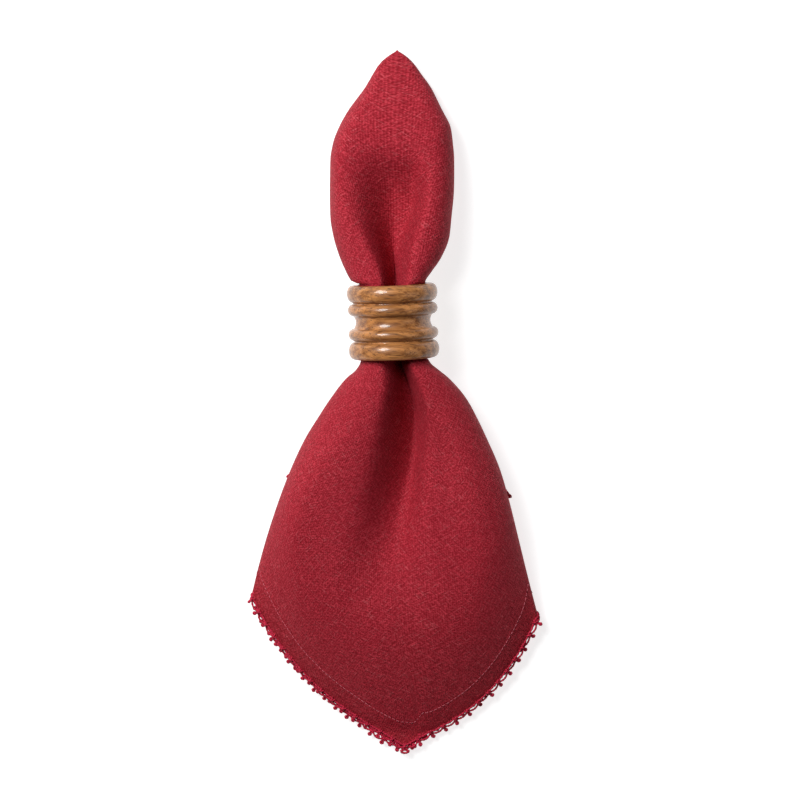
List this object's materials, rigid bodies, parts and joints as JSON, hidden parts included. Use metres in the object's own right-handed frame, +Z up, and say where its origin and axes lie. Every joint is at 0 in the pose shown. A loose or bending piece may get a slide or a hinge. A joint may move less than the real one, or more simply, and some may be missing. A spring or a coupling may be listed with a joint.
{
  "type": "napkin in a ring",
  "caption": "Square linen table napkin with a crocheted picot edge, gathered and drawn through a turned wooden napkin ring, lying flat.",
  "frame": {"origin": "centre of the whole part's box, on the surface that it rests on", "axes": "+Y along the ring's axis towards the napkin's pinched tip, +Z up, +X to the right as seen from above"},
  "size_m": [0.1452, 0.3502, 0.0444],
  "materials": {
    "linen": "plain woven linen, matt",
    "crochet": "crocheted cotton thread",
    "ring_wood": "mid-brown hardwood, varnished"
  },
  "bodies": {
    "root": {"napkin_cloth": "linen", "picot_edging": "crochet", "napkin_ring": "ring_wood"}
  },
  "joints": []
}
